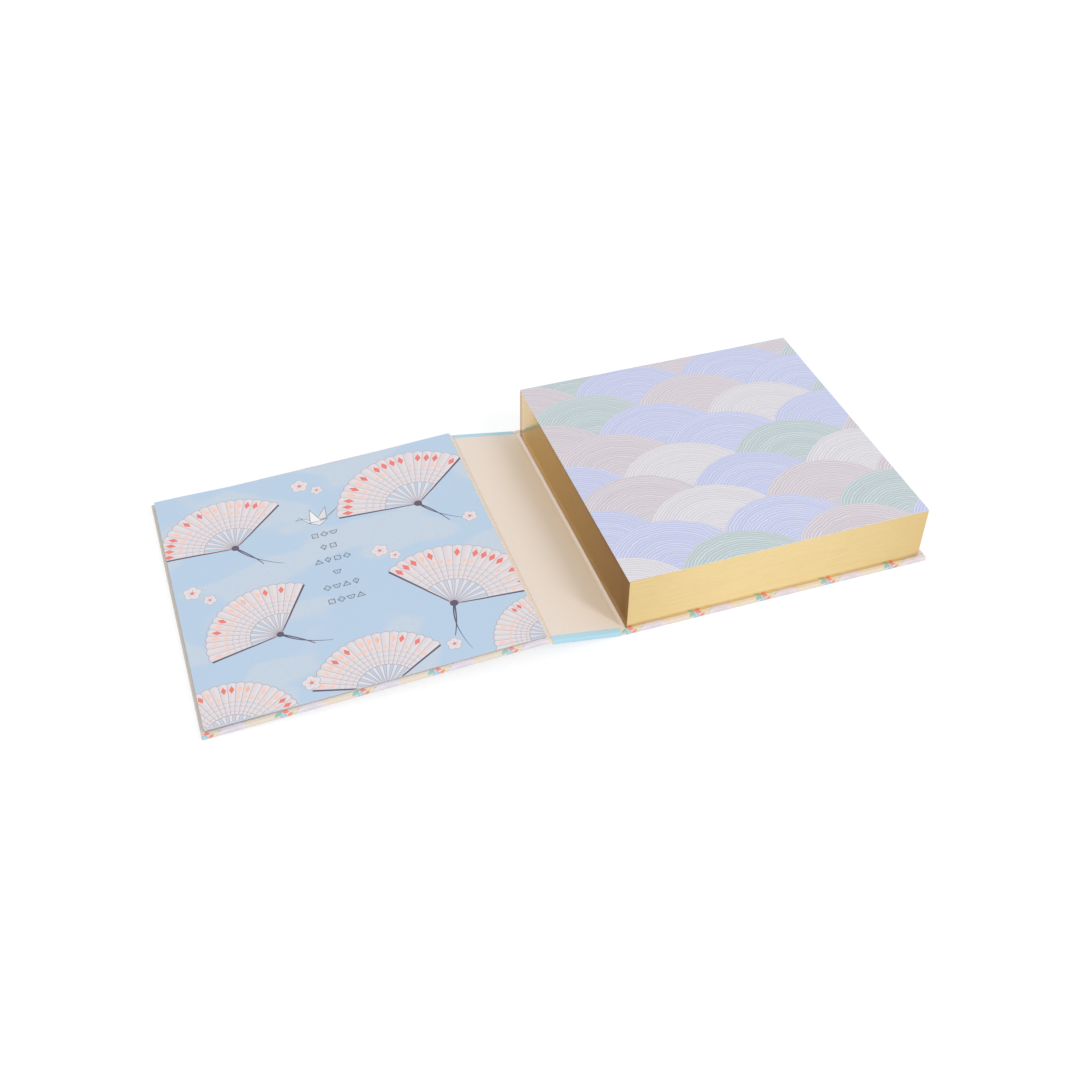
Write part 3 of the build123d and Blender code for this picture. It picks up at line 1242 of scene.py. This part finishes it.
class PAPER_CASE_OT_booklet(bpy.types.Operator):
    """Makes the booklet of thin leaves on the front cover"""

    bl_idname = "paper_case.booklet"
    bl_label = "Booklet"

    def execute(self, context):
        draw = random.Random(5)
        pale = plain_paper("leaf_paper", shades().leaf, 0.6, fibre=0.5, relief=0.015)
        # The lowest leaf gets a greyer paper: painted shade, standing in for the shadow in the gap under the
        # lifted leaves.
        painted_shade_paper = plain_paper("last_leaf_painted_shade", shades().last_leaf_painted_shade, relief=0.015)
        cover_thickness = 0.13
        shares = (0.0, 0.33, 0.44, 0.55, 0.66, 0.77, 0.88)
        pitch = (BOOKLET_THICKNESS - cover_thickness) / len(shares)
        leaves = []
        for k, share in enumerate(shares):
            slip = 0.25 if k else 0.0
            low = (BOOKLET_X[0] + draw.uniform(0.15, 0.3 + slip), BOOKLET_Y[0] + draw.uniform(0.0, slip))
            high = (BOOKLET_X[1], BOOKLET_Y[1] - draw.uniform(0.0, slip))
            fanned = (share, share + 0.08 if k else 0.0)
            sheet = leaf_mesh(low, high, PANEL_TOP + pitch * k, mm("leaf_paper"), fanned, LEAF_STEPS)
            for face in sheet.faces:
                face.material_index = 0 if k else 1
            leaves.append(sheet)
        inner = in_metres("booklet_leaves", joined(leaves), FRONT_PLACE, [pale, painted_shade_paper])
        low, high = zip(BOOKLET_X, BOOKLET_Y)
        bottom = PANEL_TOP + BOOKLET_THICKNESS - cover_thickness
        top = leaf_mesh(low, high, bottom, cover_thickness, (1.0, 1.0), BOOKLET_COVER_STEPS)
        print_above(top)
        cover = in_metres("booklet_cover", top, FRONT_PLACE, [booklet_print(), pale])
        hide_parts("booklet")
        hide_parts("booklet")
        for piece in (cover, inner):
            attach(piece, "front_cover")
            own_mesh(piece)
        return {"FINISHED"}


class PAPER_CASE_OT_papers(bpy.types.Operator):
    """Makes the papers folded round the boards and across the two joints"""

    bl_idname = "paper_case.papers"
    bl_label = "Cover papers"

    def execute(self, context):
        printed = cover_print()
        blue = plain_paper("spine_paper", shades().spine, fibre=0.5, relief=0.03, mottle=0.06)
        back_sheet = folded_paper(0, COVER_WIDTH, free=(COVER_WIDTH,))
        front_sheet = folded_paper(-COVER_WIDTH, 0, free=(-COVER_WIDTH,), shift=FRONT_SHIFT)
        spine_sheet = folded_paper(SPINE_HEAD, SPINE_FOOT)
        back = in_metres("back_cover_paper", back_sheet, BACK_PLACE, [printed])
        front = in_metres("front_cover_paper", front_sheet, FRONT_PLACE, [printed])
        spine = in_metres("spine_paper", spine_sheet, SPINE_PLACE, [blue])
        for piece, body, node, slot in (
            (back, "back_cover", "back_wrap", "cover_paper"),
            (front, "front_cover", "front_wrap", "cover_paper"),
            (spine, "spine", "spine_wrap", "spine_paper"),
        ):
            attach(piece, body)
            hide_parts(node)
        back_joint = joint_paper("back_joint_paper", BACK_JOINT, BACK_JOINT_START, printed)
        front_joint = joint_paper("front_joint_paper", FRONT_JOINT, 0.0, printed, FRONT_SHIFT, FRONT_SPREAD)
        bend_at_joints(back_joint, front_joint)
        return {"FINISHED"}


class PAPER_CASE_OT_linings(bpy.types.Operator):
    """Makes the lining papers on the covers and the spine, and across the two joints"""

    bl_idname = "paper_case.linings"
    bl_label = "Linings"

    def execute(self, context):
        lining = plain_paper("lining", shades().lining, fibre=0.45)
        width = COVER_WIDTH
        for name, place, low, high, free, body in (
            ("back_lining", BACK_PLACE, 0, width, (width,), "back_cover"),
            ("spine_lining", SPINE_PLACE, SPINE_HEAD, SPINE_FOOT, (), "spine"),
            ("front_lining", FRONT_PLACE, -width, 0, (-width,), "front_cover"),
        ):
            piece = panel_lining(name, place, low, high, free, lining)
            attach(piece, body)
            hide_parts(name.replace("lining", "liner"))
        back_joint = joint_lining("back_joint_lining", BACK_JOINT, pile_side_lining())
        front_joint = joint_lining("front_joint_lining", FRONT_JOINT, lining)
        bend_at_joints(back_joint, front_joint)
        return {"FINISHED"}


class PAPER_CASE_PT_panel(bpy.types.Panel):
    """Lists the case's operators, sizes and colours"""

    bl_label = "Paper case"
    bl_idname = "PAPER_CASE_PT_panel"
    bl_space_type = "VIEW_3D"
    bl_region_type = "UI"
    bl_category = "Paper case"

    def draw(self, context):
        for operator in OPERATORS:
            self.layout.operator(operator.bl_idname)
        for group_name in ("paper_case_sizes", "paper_case_colours"):
            settings = getattr(context.scene, group_name)
            column = self.layout.column()
            for key in type(settings).__annotations__:
                column.prop(settings, key)


OPERATORS = (
    PAPER_CASE_OT_stage,
    PAPER_CASE_OT_boards,
    PAPER_CASE_OT_papers,
    PAPER_CASE_OT_linings,
    PAPER_CASE_OT_pile,
    PAPER_CASE_OT_booklet,
)
CLASSES = (CaseSizes, CaseColours, *OPERATORS, PAPER_CASE_PT_panel)


def register():
    for cls in CLASSES:
        bpy.utils.register_class(cls)
    bpy.types.Scene.paper_case_sizes = bpy.props.PointerProperty(type=CaseSizes)
    bpy.types.Scene.paper_case_colours = bpy.props.PointerProperty(type=CaseColours)


def unregister():
    del bpy.types.Scene.paper_case_colours
    del bpy.types.Scene.paper_case_sizes
    for cls in reversed(CLASSES):
        bpy.utils.unregister_class(cls)


def main():
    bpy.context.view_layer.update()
    register()
    bpy.context.scene.view_settings.view_transform = "Standard"
    bpy.ops.paper_case.stage()
    bpy.ops.paper_case.boards()
    bpy.ops.paper_case.papers()
    bpy.ops.paper_case.linings()
    bpy.ops.paper_case.pile()
    bpy.ops.paper_case.booklet()


if __name__ == "__main__":
    main()
